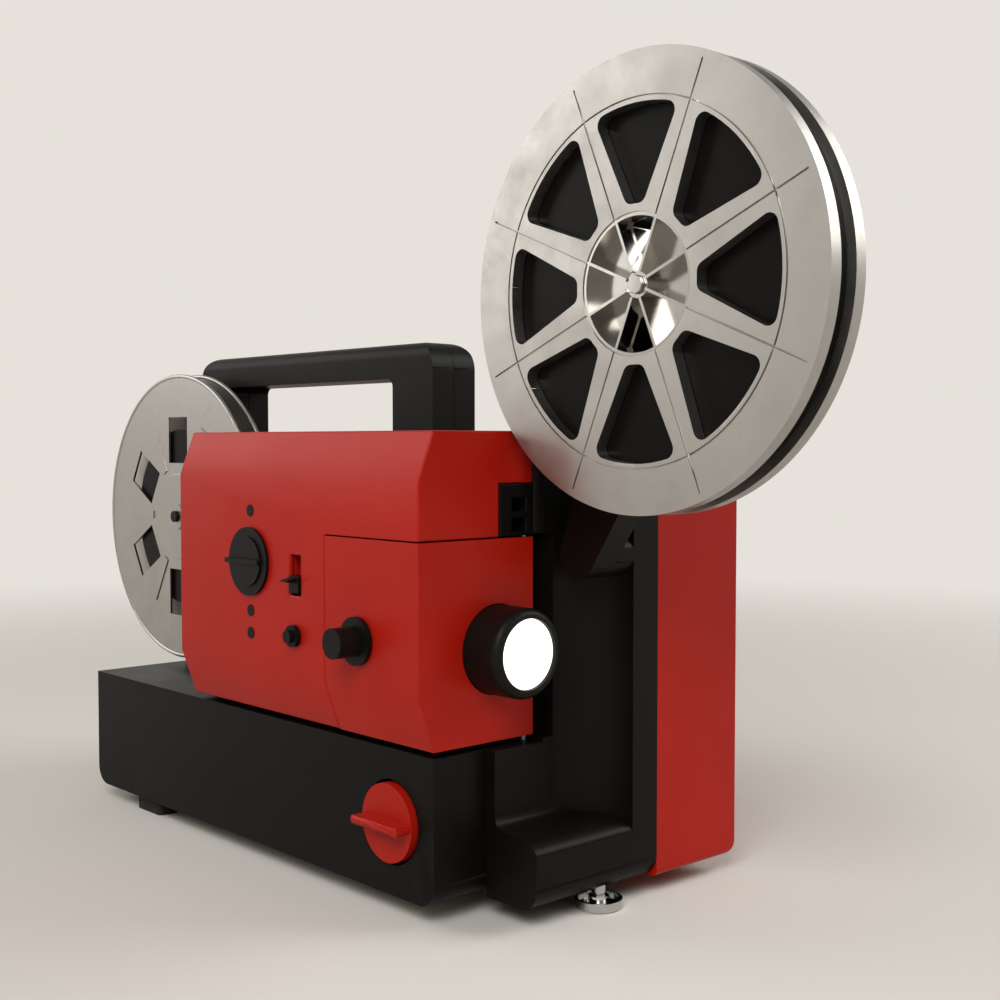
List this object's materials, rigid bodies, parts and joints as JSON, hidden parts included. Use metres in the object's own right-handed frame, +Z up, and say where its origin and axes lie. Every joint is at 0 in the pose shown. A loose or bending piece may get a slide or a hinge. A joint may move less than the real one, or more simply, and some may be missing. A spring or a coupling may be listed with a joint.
{
  "type": "movie projector",
  "caption": "Film projector with a red case on a black base, a large supply reel on a front arm, a take-up reel behind, a lens door with focus knob, control knobs and a carrying handle.",
  "frame": {"origin": "middle of the part's box in plan, at the level of the feet", "axes": "+X the way the light is thrown, -Y the operator's side, +Z up"},
  "size_m": [0.5277, 0.1804, 0.3517],
  "materials": {
    "red_case": "satin red moulding",
    "black_case": "satin black moulding",
    "black_trim": "black knobs and small mouldings",
    "reel_metal": "satin pressed metal",
    "film": "wound film",
    "steel": "bright steel",
    "brass": "turned brass",
    "chrome": "polished",
    "lens_glass": "polished, lit from behind",
    "rubber": "moulded rubber",
    "ceramic": "glazed ceramic",
    "copper_wire": "enamelled copper winding"
  },
  "bodies": {
    "case": {"mechanism_cover": "red_case", "rear_cover": "red_case", "slide_switch_body": "red_case", "base_housing": "black_case", "center_frame": "black_case", "front_nose": "black_case", "handle_near": "black_case", "handle_far": "black_case", "supply_arm": "black_case", "film_guide": "black_case", "cord_gland": "black_trim", "selector_switch": "black_trim", "panel_studs": "black_trim", "main_switch_body": "black_trim", "base_plate": "steel", "chassis_plate": "steel", "door_hinge_pins": "steel", "case_screws": "steel", "film_gate": "steel", "pressure_plate": "steel", "arm_bolt": "steel", "bearing_bridge": "steel", "motor": "steel", "transformer_core": "steel", "foot_bush": "brass", "bearing_bushes": "brass", "lamp": "lens_glass", "rear_feet": "rubber", "drive_belt": "rubber", "takeup_belt": "rubber", "lamp_socket": "ceramic", "transformer_coil": "copper_wire"},
    "door": {"lens_door": "red_case", "lens_holder": "black_trim"},
    "lens": {"lens_barrel": "black_trim", "lens_front_glass": "lens_glass", "lens_rear_glass": "lens_glass"},
    "focus": {"focus_knob": "black_trim"},
    "selector": {"selector_dial": "black_trim"},
    "slide_button": {"slide_switch_button": "black_trim"},
    "framing": {"framing_knob": "black_trim"},
    "main_switch": {"main_switch_knob": "red_case"},
    "supply_reel": {"supply_spindle": "steel", "supply_reel_near": "reel_metal", "supply_reel_far": "reel_metal", "supply_hub": "reel_metal", "supply_film": "film"},
    "takeup_reel": {"takeup_spindle": "black_trim", "takeup_reel_near": "reel_metal", "takeup_reel_far": "reel_metal", "takeup_hub": "reel_metal", "takeup_film": "film"},
    "foot": {"levelling_foot": "chrome"},
    "main_drive": {"main_shaft": "steel", "shutter_drum": "black_trim"},
    "idler_drive": {"idler_gear": "brass"},
    "sprocket_drive": {"sprocket": "steel"},
    "motor_drive": {"motor_rotor": "steel", "fan_wheel": "black_trim"},
    "claw": {"claw_arm": "steel"}
  },
  "joints": [
    {"name": "supply_reel_spin", "type": "hinge", "parent": "case", "child": "supply_reel", "pos_m": [0.17485, -0.01995, 0.2627], "axis": [0, 1, 0], "continuous": true},
    {"name": "takeup_reel_spin", "type": "hinge", "parent": "case", "child": "takeup_reel", "pos_m": [-0.18205, -0.01995, 0.1592], "axis": [0, 1, 0], "continuous": true},
    {"name": "selector_turn", "type": "hinge", "parent": "case", "child": "selector", "pos_m": [-0.02585, -0.0763, 0.1461], "axis": [0, 1, 0], "range_deg": [-60, 60]},
    {"name": "slide_switch_travel", "type": "slide", "parent": "case", "child": "slide_button", "axis": [0, 0, 1], "range_m": [0, 0.009]},
    {"name": "framing_turn", "type": "hinge", "parent": "case", "child": "framing", "pos_m": [0.01115, -0.0763, 0.1145], "axis": [0, 1, 0], "range_deg": [-90, 90]},
    {"name": "main_switch_turn", "type": "hinge", "parent": "case", "child": "main_switch", "pos_m": [0.07105, -0.0683, 0.04015], "axis": [0, 1, 0], "range_deg": [0, 90]},
    {"name": "door_swing", "type": "hinge", "parent": "case", "child": "door", "pos_m": [0.09565, -0.0141, 0.118], "axis": [0, 0, 1], "range_deg": [0, 30]},
    {"name": "focus_turn", "type": "hinge", "parent": "door", "child": "focus", "pos_m": [0.05865, -0.0763, 0.1173], "axis": [0, -1, 0], "range_deg": [-40, 40]},
    {"name": "lens_focus", "type": "slide", "parent": "door", "child": "lens", "axis": [1, 0, 0], "range_m": [-0.00279, 0.00279]},
    {"name": "foot_turn", "type": "hinge", "parent": "case", "child": "foot", "pos_m": [0.12365, 0.0047, 0.0085], "axis": [0, 0, 1], "range_deg": [-720, 720]},
    {"name": "motor_spin", "type": "hinge", "parent": "case", "child": "motor_drive", "pos_m": [-0.05035, 0.0217, 0.055], "axis": [0, 1, 0], "continuous": true},
    {"name": "main_spin", "type": "hinge", "parent": "case", "child": "main_drive", "pos_m": [0.02965, -0.0083, 0.1139], "axis": [0, 1, 0], "continuous": true},
    {"name": "idler_spin", "type": "hinge", "parent": "case", "child": "idler_drive", "pos_m": [0.01454, -0.0083, 0.14658], "axis": [0, 1, 0], "continuous": true},
    {"name": "sprocket_spin", "type": "hinge", "parent": "case", "child": "sprocket_drive", "pos_m": [0.04965, -0.0083, 0.1763], "axis": [0, 1, 0], "continuous": true},
    {"name": "claw_stroke", "type": "slide", "parent": "case", "child": "claw", "axis": [0, 0, 1], "range_m": [0, 0.0042]}
  ],
  "couplings": [
    {"joint": "main_spin", "follows": "motor_spin", "ratio": 0.4},
    {"joint": "idler_spin", "follows": "motor_spin", "ratio": -0.11429},
    {"joint": "sprocket_spin", "follows": "motor_spin", "ratio": 0.17778},
    {"joint": "focus_turn", "follows": "lens_focus", "rad_per_m": 250}
  ]
}
